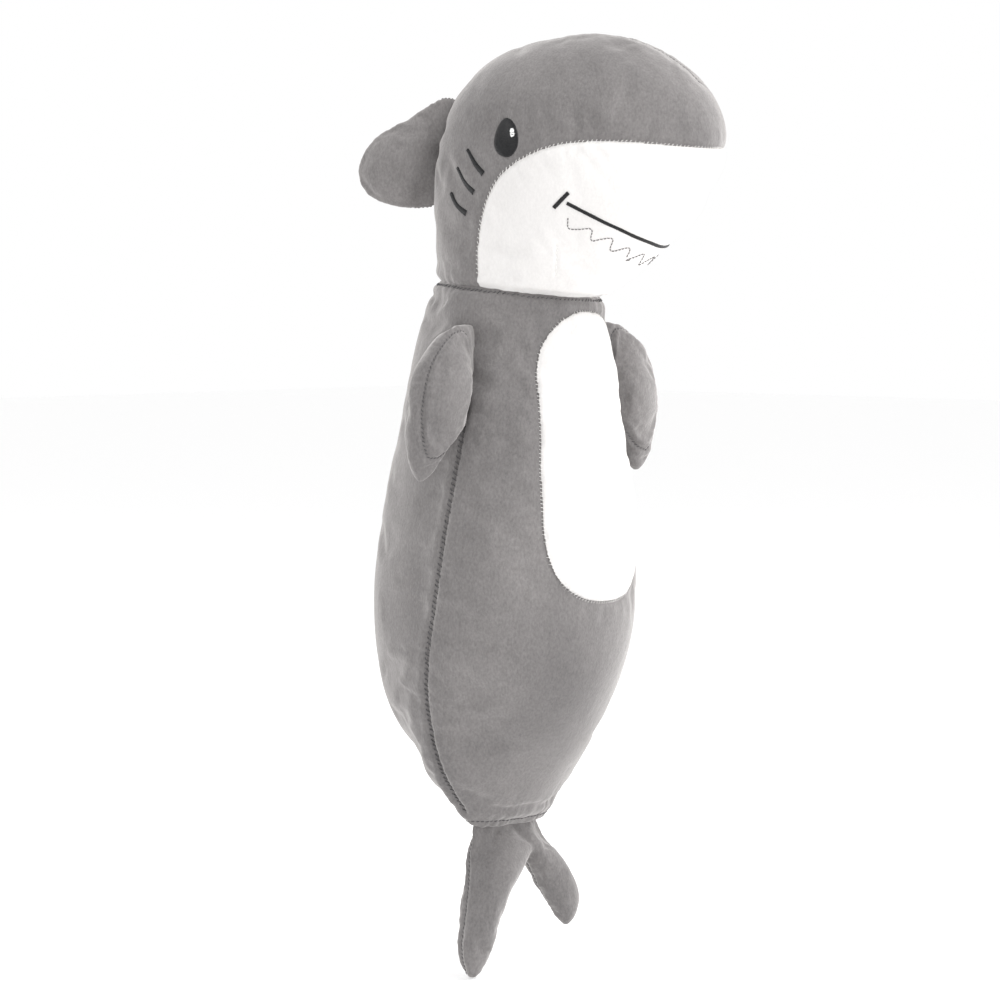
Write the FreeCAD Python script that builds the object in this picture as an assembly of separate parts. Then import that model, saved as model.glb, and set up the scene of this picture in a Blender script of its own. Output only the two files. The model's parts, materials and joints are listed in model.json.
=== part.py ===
import FreeCAD, Part
import math
import os

# Plush shark, upright and facing -Y, with its right side at -X.  Millimetres, +Z up.
# The stuffed torso carries the head, two side fins and the tail.  The head carries the
# dorsal fin.  Each of those five is sewn on along one seam, and that seam is its hinge.

V = FreeCAD.Vector
X, Y, Z = V(1, 0, 0), V(0, 1, 0), V(0, 0, 1)

# ---------------------------------------------------------------- driving dimensions
SKIN = 2.0               # pile fabric, backing and nap together
FILL_GAP = 0.4           # between the skin and the filling
END_INSET = 1.5          # an inner layer's end is drawn in this many times as far as its sides
LAYER_LIFT = 0.1         # from the skin to whatever is sewn on it
THREAD = 0.9             # height of a seam thread or an embroidered line
PATCH = 1.4              # thickness of the belly patch
SEAM_WIDTH = 1.4         # width that a seam thread covers
JOINT_GAP = 0.35         # between head and torso at the neck seam
ROOT_GAP = 2.0           # between a fin or the tail and what it is sewn to
HOLLOW_START = 0.35      # where a limb's inside starts, from its third station towards its fourth
HOLLOW_THINNER = 0.85    # and how thick it is there, as a share of the third station
THREAD_ROOT_GAP = 3.0    # where the edge thread of a limb starts
REACH = 200.0            # longer than any cutting prism has to be
PAST_FACE = 15.0         # how far the prisms of the mouth and teeth go past the face
CENTRE_GAP = 2.0         # keeps what is cut on one side clear of the middle plane
CUT_PAST = 2.0           # how far a cutter goes past the surface that it opens
RING_POINTS = 16         # control points round every section
RING_SWELL = 3 / (2 + math.cos(2 * math.pi / RING_POINTS))  # puts the cubic through the true ellipse

NECK_CENTRE = V(0, -11, 439)
NECK_RADIUS = 53.4
NECK_TILT = 6.0          # degrees, lower at the chin
NECK_THREAD_OUT = 0.8    # thread's centreline outside the neck, and below its plane
NECK_THREAD_DROP = 0.9
NECK_CLEAR = 4.0         # from the neck's plane to the ends of the head's seam threads
HEAD_YAW = 27.0          # degrees, face turned to the toy's left
TORSO_BOTTOM = 97.0      # height of the flat seam that the tail hangs from
BOTTOM_THREAD_HEIGHT = 2.5
NECK_FILL_GAP = 1.0      # between the neck's plane and the filling on both sides of it

# Torso sections: height, half width, half depth, centre in depth.
TORSO = [
    (TORSO_BOTTOM, 31.0, 3.0, 0.0),
    (106, 40.0, 17.0, 1.5),
    (126, 56.0, 33.0, 4.0),
    (153, 68.0, 53.0, 6.5),
    (180, 75.0, 69.0, 6.0),
    (208, 80.0, 79.0, 4.5),
    (240, 82.0, 82.0, 3.0),
    (272, 80.8, 80.8, 0.5),
    (316, 75.4, 75.4, -2.5),
    (360, 68.6, 68.6, -3.5),
    (400, 61.3, 61.3, -5.5),
]
# Head sections in the head's own frame: height, how far the centre is forward of the
# neck, half length, half width.
HEAD = [
    (450, 10.5, 63.5, 55.5),
    (468, 20.5, 74.0, 57.5),
    (489, 31.0, 85.0, 59.5),
    (508, 37.0, 90.5, 60.0),
    (530, 41.0, 92.0, 60.0),
    (552, 42.4, 85.6, 57.0),
    (570, 42.4, 73.5, 49.5),
    (584, 43.0, 56.0, 38.5),
    (594, 44.5, 34.0, 23.5),
]
CROWN = V(0, -45.5, 600)
CROWN_START = 552.0      # above this an inner layer is drawn down as well as in

# Seams as (depth, height) points.  Each one runs straight across the toy.
SIDE_SEAM_LOW, SIDE_SEAM_HIGH = 103.0, 372.0    # where its thread ends, below the fins
SIDE_SEAM = [(0, 80), (0, 120), (-1, 180), (-12, 237), (-20, 296), (-25, 349), (-27, 460)]
MUZZLE_SEAM = [
    (9, 425), (12, 440), (13, 466), (9, 487), (-1, 507), (-18, 520), (-44, 528.5), (-80, 530), (-160, 528),
]
CHIN_DART = [(-36, 430), (-38, 447), (-42, 471)]

EYE_CENTRE = (-7, 533)
EYE_HALF_SIZE = (9.0, 11.8)
GLINT_CENTRE = (-11.5, 536)
GLINT_HALF_SIZE = (2.0, 2.9)
GLINT_HEIGHT = 0.5       # above the eye
GILLS = [
    [(21, 526), (16.5, 518), (9, 511)],
    [(29, 515), (24, 506.5), (15.5, 499.5)],
    [(33, 499), (28, 491.5), (20.5, 486.5)],
]
GILL_WIDTHS = (1.2, 3.2)
MOUTH_CORNER = 82.0      # degrees round the head from straight ahead
MOUTH_LOW = 467.0        # height of the mouth line at the snout
MOUTH_RISE = 27.0        # how much higher its corners are
MOUTH_WIDTH = 2.2
CORNER_BAR = 4.5         # half length of the cross stitch at each corner, along and up
MOUTH_STEPS = 6          # points along each half of the mouth line
TEETH_SPAN = 77.0        # degrees, as the mouth corner
TEETH_PER_SIDE = 5
TOOTH_ROOT = 5.5         # below the mouth line
TOOTH_TIP = 13.0
TOOTH_WIDTH = 1.0
TOOTH_LEAN = 0.22        # how far a tooth's tip is moved towards the mouth's corner, as a share of its pitch

# Belly patch, half of its outline as (half width, height).
BELLY = [(0, 424), (20, 420), (36, 402), (41, 368), (45, 325), (46, 292), (40, 262), (22, 246), (0, 243)]
BELLY_STITCH = 1.6       # width of the stitching round the patch
BELLY_STITCH_GAP = 0.1
BELLY_TURN = 6.0         # degrees towards the toy's left

# Fins.  A station is centre, width direction, thickness direction, half width, half thickness.
SIDE_FIN_ROOT = (V(-56.6, -22.0, 419), V(-62.6, -27.0, 375))
SIDE_FIN = [
    (V(-56.0, -24.6, 397), V(-0.14, -0.11, -1), Y, 21.0, 1.5),
    (V(-60.5, -24.8, 396), V(-0.10, -0.09, -1), Y, 22.0, 2.0),
    (V(-68.0, -25.4, 393.5), V(0.02, -0.05, -1), Y, 24.0, 7.0),
    (V(-77.0, -26.0, 387), V(0.25, 0, -1), Y, 25.0, 15.0),
    (V(-86.0, -25.5, 374), V(0.7, 0, -1), Y, 24.0, 17.0),
    (V(-93.0, -24.0, 357), V(1, 0, -0.75), Y, 19.5, 15.0),
    (V(-97.5, -22.0, 340), V(1, 0, -0.45), Y, 13.5, 11.0),
    (V(-99.5, -20.5, 327), V(1, 0, -0.35), Y, 7.5, 6.0),
]
SIDE_FIN_TIP = V(-100, -19.5, 319.5)
SIDE_FIN_SEAM_SHIFT = -5.0
DORSAL_ROOT = (V(0, 43.5, 566), V(0, 58.5, 489))
DORSAL = [
    (V(0, 38.0, 529.5), V(0, 0.27, -1), X, 39.0, 1.5),
    (V(0, 50.5, 527.5), V(0, 0.22, -1), X, 38.5, 1.9),
    (V(0, 58.5, 525.5), V(0, 0.18, -1), X, 36.5, 6.0),
    (V(0, 67.0, 522.5), V(0, 0.15, -1), X, 33.0, 11.5),
    (V(0, 80.0, 519.0), V(0, 0.1, -1), X, 27.5, 12.5),
    (V(0, 93.0, 516.5), V(0, 0.05, -1), X, 22.0, 10.0),
    (V(0, 102.0, 514.5), V(0, 0, -1), X, 15.5, 6.5),
    (V(0, 106.5, 514.0), V(0, 0, -1), X, 8.5, 3.2),
]
DORSAL_TIP = V(0, 108.0, 514)
TAIL_HINGE = V(-1, 0, TORSO_BOTTOM - 1.4)
TAIL_SEAM_SHIFT = 1.5
TAIL_SEAM_NORMAL = V(0, 1, -0.1)
TAIL_THREAD_END = 2.0    # the thread stops short of the lowest point
RIGHT_LOBE = [
    (V(-2.5, 0, 99), V(1, 0, 0), Y, 29.5, 1.2),
    (V(-3, 0, 93.5), V(1, 0, 0), Y, 30.0, 1.6),
    (V(-5, -1, 86), V(1, 0, 0.1), Y, 30.5, 7.0),
    (V(-12, -3, 71), V(1, 0, 0.3), Y, 27.5, 15.5),
    (V(-23, -5.5, 51), V(1, 0, 0.5), Y, 23.0, 15.0),
    (V(-33, -7.5, 30), V(1, 0, 0.45), Y, 17.5, 12.0),
    (V(-38.5, -8.5, 13), V(1, 0, 0.3), Y, 10.5, 8.0),
    (V(-40.5, -8.8, 4.5), V(1, 0, 0.2), Y, 5.5, 4.2),
]
RIGHT_LOBE_TIP = V(-41.5, -9, 0)
LEFT_LOBE = [
    (V(10.5, 0, 99), V(1, 0, 0), Y, 15.0, 1.0),
    (V(12, 0, 93.5), V(1, 0, -0.1), Y, 16.0, 1.5),
    (V(16, -1, 86), V(1, 0, -0.25), Y, 17.0, 7.0),
    (V(24, -3.5, 74), V(1, 0, -0.4), Y, 18.5, 13.5),
    (V(33, -6.0, 60), V(1, 0, -0.4), Y, 18.5, 14.0),
    (V(39.5, -9, 45), V(1, 0, -0.2), Y, 14.0, 11.0),
    (V(42, -11, 33), V(1, 0, 0), Y, 8.0, 6.5),
]
LEFT_LOBE_TIP = V(42.5, -12, 24)


# ---------------------------------------------------------------- geometry helpers
def unit(vector):
    return V(vector).normalize()


def ring(centre, first, second, half_first, half_second):
    """Control points of a smooth closed ellipse on two directions at right angles."""
    points = []
    for step in range(RING_POINTS):
        angle = 2 * math.pi * (step + 0.5) / RING_POINTS
        outward = first * (half_first * math.cos(angle)) + second * (half_second * math.sin(angle))
        points.append(centre + outward * RING_SWELL)
    return points


def oval(centre, first, second, half_first, half_second):
    """The same ellipse as a closed wire."""
    curve = Part.BSplineCurve()
    curve.buildFromPoles(ring(centre, first, second, half_first, half_second), True, 3)
    return Part.Wire(curve.toShape())


def skinned(rings, tip=None):
    """A closed solid through rings, flat at its open ends, or drawn together at a tip."""
    if tip is not None:
        rings = rings + [[tip] * RING_POINTS]
    stops = [0.0]
    for low, high in zip(rings, rings[1:]):
        steps = [a.distanceToPoint(b) for a, b in zip(low, high)]
        stops.append(stops[-1] + sum(steps) / RING_POINTS)
    columns = []
    for column in zip(*rings):
        curve = Part.BSplineCurve()
        curve.interpolate(Points=list(column), Parameters=stops)
        columns.append(curve)
    poles = [curve.getPoles() for curve in columns]
    knots, mults = columns[0].getKnots(), columns[0].getMultiplicities()
    round_knots = list(range(RING_POINTS + 1))
    surface = Part.BSplineSurface()
    round_mults = [1] * (RING_POINTS + 1)
    surface.buildFromPolesMultsKnots(poles, round_mults, mults, round_knots, knots, True, False, 3, 3)
    faces = [surface.toShape(), Part.Face(Part.Wire(surface.vIso(knots[0]).toShape()))]
    if tip is None:
        faces.append(Part.Face(Part.Wire(surface.vIso(knots[-1]).toShape())))
    shell = Part.Shell(faces)
    shell.sewShape()
    solid = Part.Solid(shell)
    if solid.Volume < 0:
        solid.reverse()
    return solid


def spline(points):
    curve = Part.BSplineCurve()
    curve.interpolate(points)
    return curve.toShape()


def prism(edges, direction):
    return Part.Face(Part.Wire(edges)).extrude(direction)


def strip(points, widths, direction, depth):
    """A line of points widened in its own plane, then pushed along direction."""
    left, right = [], []
    for i, point in enumerate(points):
        before, after = points[max(i - 1, 0)], points[min(i + 1, len(points) - 1)]
        side = direction.cross(unit(after - before))
        share = i / (len(points) - 1)
        half = (widths[0] + (widths[1] - widths[0]) * share) / 2
        left.append(point + side * half)
        right.append(point - side * half)
    ends = [Part.makeLine(left[-1], right[-1]), Part.makeLine(right[0], left[0])]
    if len(points) == 2:
        return prism([Part.makeLine(*left), ends[0], Part.makeLine(*right[::-1]), ends[1]], direction * depth)
    return prism([spline(left), ends[0], spline(right[::-1]), ends[1]], direction * depth)


def ahead_of(seam, shift):
    """Everything in front of a (depth, height) seam that is moved back by shift."""
    line = [V(-REACH, depth + shift, height) for depth, height in seam]
    corners = [line[-1], V(-REACH, -REACH, line[-1].z), V(-REACH, -REACH, line[0].z), line[0]]
    return prism([spline(line)] + Part.makePolygon(corners).Edges, X * (2 * REACH))


def under_muzzle_seam(shift):
    """The head below and in front of the muzzle seam, which is moved out by shift."""
    line = [V(-REACH, depth + shift, height + shift) for depth, height in MUZZLE_SEAM]
    corners = [line[-1], V(-REACH, line[-1].y, line[0].z), line[0]]
    return prism([spline(line)] + Part.makePolygon(corners).Edges, X * (2 * REACH))


def half_space(point, normal):
    """A large block on the side of the plane that normal points to."""
    across = unit(normal.cross(Z if abs(normal.z) < 0.9 else X))
    face = Part.makePlane(6 * REACH, 6 * REACH, V(0, 0, 0), normal, across)
    face.translate(point - face.CenterOfMass)
    return face.extrude(unit(normal) * (6 * REACH))


def root_hinge(root):
    """Where a fin turns: the middle of its root line, and the line's direction upwards."""
    top, low = root
    return (top + low) * 0.5, unit(top - low)


def mirrored(shape):
    return shape.mirror(V(0, 0, 0), X)


def turned_head(shape):
    """From the head's own frame into the toy's frame."""
    placed = shape.copy()
    placed.rotate(V(0, 0, 0), Z, HEAD_YAW)
    placed.translate(V(NECK_CENTRE.x, NECK_CENTRE.y, 0))
    return placed


# ---------------------------------------------------------------- torso
def neck_axis(yaw):
    tilt, turn = math.radians(NECK_TILT), math.radians(yaw)
    return V(math.sin(tilt) * math.sin(turn), -math.sin(tilt) * math.cos(turn), math.cos(tilt))


def neck_ring(centre, yaw, radius, lift):
    axis = neck_axis(yaw)
    across = unit(X - axis * axis.dot(X))
    return ring(centre + axis * lift, across, axis.cross(across), radius, radius)


def torso_solid(inset, neck_lift):
    rings = []
    for i, (height, half_width, half_depth, middle) in enumerate(TORSO):
        raised = END_INSET * inset if i == 0 else 0
        depth = max(half_depth - inset, THREAD)
        rings.append(ring(V(0, middle, height + raised), X, Y, half_width - inset, depth))
    rings.append(neck_ring(NECK_CENTRE, HEAD_YAW, NECK_RADIUS - inset, neck_lift))
    return skinned(rings)


def torso_layer(low, high):
    """The closed coat between two heights above the torso's fabric."""
    return torso_solid(-high, -CUT_PAST).cut(torso_solid(-low, CUT_PAST))


def torso_parts():
    outer = torso_solid(0, -JOINT_GAP)
    skin = outer.cut(torso_solid(SKIN, CUT_PAST))
    front = ahead_of(SIDE_SEAM, 0)
    coat = torso_layer(LAYER_LIFT, LAYER_LIFT + THREAD)
    seams = coat.common(ahead_of(SIDE_SEAM, SEAM_WIDTH / 2)).cut(ahead_of(SIDE_SEAM, -SEAM_WIDTH / 2))
    above_tail = half_space(V(0, 0, SIDE_SEAM_LOW), Z)
    below_fins = half_space(V(0, 0, SIDE_SEAM_HIGH), -Z)
    seams = seams.common(above_tail).common(below_fins)
    axis = neck_axis(HEAD_YAW)
    thread_centre = NECK_CENTRE - axis * NECK_THREAD_DROP
    neck_thread = Part.makeTorus(NECK_RADIUS + NECK_THREAD_OUT, THREAD / 2, thread_centre, axis)
    bottom_band = coat.cut(half_space(V(0, 0, TORSO_BOTTOM + BOTTOM_THREAD_HEIGHT), Z))
    return {
        "torso_front_panel": skin.common(front),
        "torso_back_panel": skin.cut(front),
        "torso_filling": torso_solid(SKIN + FILL_GAP, -NECK_FILL_GAP),
        "right_side_seam_thread": seams.common(half_space(X * -CENTRE_GAP, -X)),
        "left_side_seam_thread": seams.common(half_space(X * CENTRE_GAP, X)),
        "neck_seam_thread": neck_thread,
        "bottom_seam_thread": bottom_band,
    }


def belly_prism(grow):
    """The patch outline, made larger by grow and pushed through the torso's front."""
    widest, middle = max(half for half, _ in BELLY), (BELLY[0][1] + BELLY[-1][1]) / 2
    half_height = BELLY[0][1] - middle
    right = []
    for half, height in BELLY:
        right.append(V(-half * (1 + grow / widest), 0, height + grow * (height - middle) / half_height))
    left = [V(-point.x, point.y, point.z) for point in right[-2:0:-1]]
    curve = Part.BSplineCurve()
    curve.interpolate(Points=right + left, PeriodicFlag=True)
    block = prism([curve.toShape()], Y * -REACH)
    block.rotate(V(0, 0, 0), Z, BELLY_TURN)
    return block


def belly_parts():
    coat = torso_layer(LAYER_LIFT, LAYER_LIFT + PATCH)
    thread_coat = torso_layer(LAYER_LIFT, LAYER_LIFT + THREAD)
    border = belly_prism(BELLY_STITCH).cut(belly_prism(BELLY_STITCH_GAP))
    return {
        "belly_patch": coat.common(belly_prism(0)),
        "belly_patch_stitching": thread_coat.common(border),
    }


# ---------------------------------------------------------------- head
def head_solid(inset, neck_lift):
    base = V(0, 0, NECK_CENTRE.z)
    rings = [neck_ring(base, 0, NECK_RADIUS - inset, neck_lift)]
    for height, forward, half_length, half_width in HEAD:
        sunk = inset * max(0.0, (height - CROWN_START) / (CROWN.z - CROWN_START))
        rings.append(ring(V(0, -forward, height - sunk), X, Y, half_width - inset, half_length - inset))
    return skinned(rings, CROWN - Z * inset)


def head_layer(low, high):
    return head_solid(-high, CUT_PAST).cut(head_solid(-low, -CUT_PAST))


def on_both_sides(shape):
    """The right and the left part of something that goes right through the head."""
    return shape.common(half_space(X * -CENTRE_GAP, -X)), shape.common(half_space(X * CENTRE_GAP, X))


def oval_prism(centre, half_size):
    return Part.Face(oval(V(-REACH, *centre), Y, Z, *half_size)).extrude(X * (2 * REACH))


def side_line(points, widths):
    return strip([V(-REACH, *point) for point in points], widths, X, 2 * REACH)


def head_section(height):
    """Forward offset, half length and half width at one height, between two rows of HEAD."""
    for low, high in zip(HEAD, HEAD[1:]):
        if height <= high[0]:
            share = (height - low[0]) / (high[0] - low[0])
            return [a + (b - a) * share for a, b in zip(low[1:], high[1:])]


def mouth_height(angle, below=0.0):
    return MOUTH_LOW + MOUTH_RISE * (angle / MOUTH_CORNER) ** 2 - below


def face_point(angle, below=0.0):
    """A point on the muzzle, by its angle round the head and its drop from the mouth line."""
    height = mouth_height(angle, below)
    forward, half_length, half_width = head_section(height)
    turn = math.radians(angle)
    return V(half_width * math.sin(turn), -forward - half_length * math.cos(turn), height)


def mouth_prisms():
    """The mouth line and the bar across its corners, both right through the head."""
    angles = [MOUTH_CORNER * step / MOUTH_STEPS for step in range(MOUTH_STEPS, -1, -1)]
    line = [face_point(angle) for angle in angles]
    line.append(line[-1] - Y * PAST_FACE)
    flat = [V(-REACH, point.y, point.z) for point in line]
    bar = [flat[0] + V(0, CORNER_BAR, -CORNER_BAR), flat[0] + V(0, -CORNER_BAR, CORNER_BAR)]
    widths = (MOUTH_WIDTH, MOUTH_WIDTH)
    return strip(flat, widths, X, 2 * REACH), strip(bar, widths, X, 2 * REACH)


def tooth_strokes():
    """Two short lines for each tooth, each square to the face where it lies."""
    strokes = []
    pitch = TEETH_SPAN / TEETH_PER_SIDE
    for tooth in range(-TEETH_PER_SIDE, TEETH_PER_SIDE):
        lean = TOOTH_LEAN if tooth >= 0 else -TOOTH_LEAN
        start = face_point(tooth * pitch, TOOTH_ROOT)
        tip = face_point((tooth + 0.5 + lean) * pitch, TOOTH_TIP)
        end = face_point((tooth + 1) * pitch, TOOTH_ROOT)
        out = unit(V(tip.x, tip.y + head_section(tip.z)[0], 0))
        for line in ((start, tip), (tip, end)):
            flat = [point - out * ((point - tip).dot(out) + PAST_FACE) for point in line]
            strokes.append(strip(flat, (TOOTH_WIDTH, TOOTH_WIDTH), out, 2 * PAST_FACE))
    return strokes


def sewn(coat, prisms):
    """What several prisms cut out of a coat, joined where they meet."""
    pieces = [coat.common(block) for block in prisms]
    return pieces[0].multiFuse(pieces[1:])


def head_parts():
    skin = head_solid(0, JOINT_GAP).cut(head_solid(SKIN, -CUT_PAST))
    muzzle_region = under_muzzle_seam(0)
    crown = skin.cut(muzzle_region)
    coat = head_layer(LAYER_LIFT, LAYER_LIFT + THREAD)
    glint_base = 2 * LAYER_LIFT + THREAD
    glint_coat = head_layer(glint_base, glint_base + GLINT_HEIGHT)
    seam_coat = coat.common(half_space(V(0, 0, NECK_CENTRE.z) + neck_axis(0) * NECK_CLEAR, neck_axis(0)))
    muzzle_thread = seam_coat.common(under_muzzle_seam(SEAM_WIDTH / 2))
    muzzle_thread = muzzle_thread.cut(under_muzzle_seam(-SEAM_WIDTH / 2))
    crown_slab = Part.makeBox(SEAM_WIDTH, 2 * REACH, REACH, V(-SEAM_WIDTH / 2, -REACH, NECK_CENTRE.z))
    behind_fin = half_space(DORSAL_ROOT[0], Z).fuse(half_space(DORSAL_ROOT[1], -Z))
    crown_thread = seam_coat.common(crown_slab).cut(under_muzzle_seam(SEAM_WIDTH)).common(behind_fin)
    front_face = half_space(V(0, 0, 0), -Y)
    mouth, corner_bar = mouth_prisms()
    parts = {
        "head_right_panel": crown.common(half_space(V(0, 0, 0), -X)),
        "head_left_panel": crown.common(half_space(V(0, 0, 0), X)),
        "muzzle_panel": skin.common(muzzle_region),
        "head_filling": head_solid(SKIN + FILL_GAP, NECK_FILL_GAP),
        "muzzle_seam_thread": muzzle_thread,
        "crown_seam_thread": crown_thread,
        "chin_dart_threads": seam_coat.common(side_line(CHIN_DART, (SEAM_WIDTH, SEAM_WIDTH))),
        "mouth_line": coat.common(mouth.cut(corner_bar)).common(front_face),
        "teeth_outline": sewn(coat, tooth_strokes()).cut(skin),
    }
    gills = Part.makeCompound([side_line(gill, GILL_WIDTHS) for gill in GILLS])
    pairs = {
        "mouth_corner": coat.common(corner_bar),
        "eye": coat.common(oval_prism(EYE_CENTRE, EYE_HALF_SIZE)),
        "eye_glint": glint_coat.common(oval_prism(GLINT_CENTRE, GLINT_HALF_SIZE)),
        "gill_strokes": coat.common(gills),
    }
    for name, shape in pairs.items():
        parts["right_" + name], parts["left_" + name] = on_both_sides(shape)
    return {name: turned_head(shape) for name, shape in parts.items()}


# ---------------------------------------------------------------- fins and tail
def limb(stations, tip, inset):
    """A stuffed limb: flat rings from its root to its tip, all drawn in by inset."""
    rings = []
    for centre, width_way, thickness_way, half_width, half_thickness in stations:
        across = unit(width_way - thickness_way * thickness_way.dot(width_way))
        rings.append(ring(centre, across, thickness_way, half_width - inset, half_thickness - inset))
    last = stations[-1][0]
    return skinned(rings, tip + unit(last - tip) * (END_INSET * inset))


def hollow_of(stations):
    """The stations of a limb's inside, which starts past the flat root that is sewn shut."""
    first, second = stations[2:4]
    centre = first[0] + (second[0] - first[0]) * HOLLOW_START
    return [(centre, *first[1:4], first[4] * HOLLOW_THINNER)] + stations[3:]


def stuffed(prefix, sides, body, hollow, neighbour, seam_point, normal):
    """Two panels, the filling and the edge thread of a limb, cut to fit what it is sewn to.

    body and hollow make the limb's outside and inside, drawn in by so much.
    """
    skin = body(0).cut(neighbour(ROOT_GAP)).cut(hollow(SKIN))
    cutter = half_space(seam_point, normal)
    thread = body(-LAYER_LIFT - THREAD).cut(body(-LAYER_LIFT)).cut(neighbour(THREAD_ROOT_GAP))
    thread = thread.common(half_space(seam_point - normal * (SEAM_WIDTH / 2), normal))
    thread = thread.common(half_space(seam_point + normal * (SEAM_WIDTH / 2), -normal))
    return {
        f"{prefix}_{sides[0]}_panel": skin.common(cutter),
        f"{prefix}_{sides[1]}_panel": skin.cut(cutter),
        f"{prefix}_filling": hollow(SKIN + FILL_GAP),
        f"{prefix}_seam_thread": thread,
    }


def side_fin_parts():
    def body(inset):
        return limb(SIDE_FIN, SIDE_FIN_TIP, inset)

    def hollow(inset):
        return limb(hollow_of(SIDE_FIN), SIDE_FIN_TIP, inset)

    def torso(gap):
        return torso_solid(-gap, 0)

    seam = SIDE_FIN[4][0] + Y * SIDE_FIN_SEAM_SHIFT
    right = stuffed("right_fin", ("back", "front"), body, hollow, torso, seam, Y)
    left = {name.replace("right", "left"): mirrored(shape) for name, shape in right.items()}
    return {**right, **left}


def dorsal_parts():
    def body(inset):
        return limb(DORSAL, DORSAL_TIP, inset)

    def hollow(inset):
        return limb(hollow_of(DORSAL), DORSAL_TIP, inset)

    def head(gap):
        return head_solid(-gap, 0)

    parts = stuffed("dorsal_fin", ("left", "right"), body, hollow, head, V(0, 0, 0), X)
    return {name: turned_head(shape) for name, shape in parts.items()}


def tail_parts():
    def body(inset):
        return limb(RIGHT_LOBE, RIGHT_LOBE_TIP, inset).fuse(limb(LEFT_LOBE, LEFT_LOBE_TIP, inset))

    def hollow(inset):
        right = limb(hollow_of(RIGHT_LOBE), RIGHT_LOBE_TIP, inset)
        return right.fuse(limb(hollow_of(LEFT_LOBE), LEFT_LOBE_TIP, inset))

    def above_hinge(gap):
        return half_space(TAIL_HINGE - Z * gap, Z)

    seam = TAIL_HINGE + Y * TAIL_SEAM_SHIFT
    parts = stuffed("tail", ("back", "front"), body, hollow, above_hinge, seam, unit(TAIL_SEAM_NORMAL))
    parts["tail_seam_thread"] = parts["tail_seam_thread"].common(half_space(V(0, 0, TAIL_THREAD_END), Z))
    return parts


# ---------------------------------------------------------------- joints
def joints():
    """Each hinge as its name, a point on its axis and the axis."""
    fin_middle, fin_axis = root_hinge(SIDE_FIN_ROOT)
    dorsal_middle, dorsal_axis = root_hinge(DORSAL_ROOT)
    spin = FreeCAD.Rotation(Z, HEAD_YAW)
    left_middle = V(-fin_middle.x, fin_middle.y, fin_middle.z)
    left_axis = V(fin_axis.x, -fin_axis.y, -fin_axis.z)
    return [
        ("head_turn", NECK_CENTRE, neck_axis(HEAD_YAW)),
        ("dorsal_fin_flap", spin.multVec(dorsal_middle) + V(0, NECK_CENTRE.y, 0), spin.multVec(dorsal_axis)),
        ("right_fin_swing", fin_middle, fin_axis),
        ("left_fin_swing", left_middle, left_axis),
        ("tail_swing", TAIL_HINGE, X),
    ]


def main():
    makers = [torso_parts, belly_parts, head_parts, side_fin_parts, dorsal_parts, tail_parts]
    parts = {name: shape for make in makers for name, shape in make().items()}
    whole = Part.makeCompound(list(parts.values())).optimalBoundingBox(False, False)
    to_origin = V(-whole.Center.x, -whole.Center.y, -whole.ZMin)
    os.makedirs("parts", exist_ok=True)
    for name, shape in parts.items():
        placed = shape.copy()
        placed.translate(to_origin)
        placed.exportStep(f"parts/{name}.step")
        print(f"{name}: {len(shape.Solids)} solid(s), {shape.Volume / 1000:.2f} cm3, valid {shape.isValid()}")
    for name, point, axis in joints():
        place = point + to_origin
        at = f"{place.x:.3f} {place.y:.3f} {place.z:.3f}"
        print(f"{name}: at {at} along {axis.x:.5f} {axis.y:.5f} {axis.z:.5f}")


main()
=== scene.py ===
import json
import math

import bmesh
import bpy
import numpy as np
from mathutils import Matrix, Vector
from mathutils.bvhtree import BVHTree
from mathutils.kdtree import KDTree

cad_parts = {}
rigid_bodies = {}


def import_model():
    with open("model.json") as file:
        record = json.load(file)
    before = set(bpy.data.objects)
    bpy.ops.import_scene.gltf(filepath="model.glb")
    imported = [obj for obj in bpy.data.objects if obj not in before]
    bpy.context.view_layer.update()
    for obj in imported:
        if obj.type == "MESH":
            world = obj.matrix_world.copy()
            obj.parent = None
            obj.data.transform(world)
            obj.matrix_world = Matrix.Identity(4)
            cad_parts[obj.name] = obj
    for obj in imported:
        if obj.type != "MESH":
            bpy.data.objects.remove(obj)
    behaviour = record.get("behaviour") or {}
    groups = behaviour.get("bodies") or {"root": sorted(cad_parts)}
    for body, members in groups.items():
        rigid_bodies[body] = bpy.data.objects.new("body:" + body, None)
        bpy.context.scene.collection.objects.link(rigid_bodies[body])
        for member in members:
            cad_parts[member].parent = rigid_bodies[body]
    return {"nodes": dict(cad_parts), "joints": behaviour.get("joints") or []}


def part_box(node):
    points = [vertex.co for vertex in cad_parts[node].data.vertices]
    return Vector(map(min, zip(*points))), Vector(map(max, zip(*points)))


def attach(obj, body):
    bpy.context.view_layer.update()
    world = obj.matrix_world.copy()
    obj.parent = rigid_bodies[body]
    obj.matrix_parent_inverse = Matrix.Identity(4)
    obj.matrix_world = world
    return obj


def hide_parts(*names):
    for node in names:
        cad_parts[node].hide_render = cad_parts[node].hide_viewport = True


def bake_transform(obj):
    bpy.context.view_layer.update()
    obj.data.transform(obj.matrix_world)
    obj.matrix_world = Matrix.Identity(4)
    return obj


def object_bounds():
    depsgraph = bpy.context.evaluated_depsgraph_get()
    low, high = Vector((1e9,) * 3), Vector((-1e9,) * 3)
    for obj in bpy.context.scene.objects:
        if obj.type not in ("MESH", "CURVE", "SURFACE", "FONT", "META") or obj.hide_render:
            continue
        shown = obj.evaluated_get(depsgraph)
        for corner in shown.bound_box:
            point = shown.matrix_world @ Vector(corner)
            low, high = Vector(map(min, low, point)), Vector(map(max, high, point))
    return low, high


# Plush shark.  Every stuffed body is a skin that is remeshed from its solids, blown up as
# cloth between its seams and pulled in along them.  Threads and embroidery lie on that skin.

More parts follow.
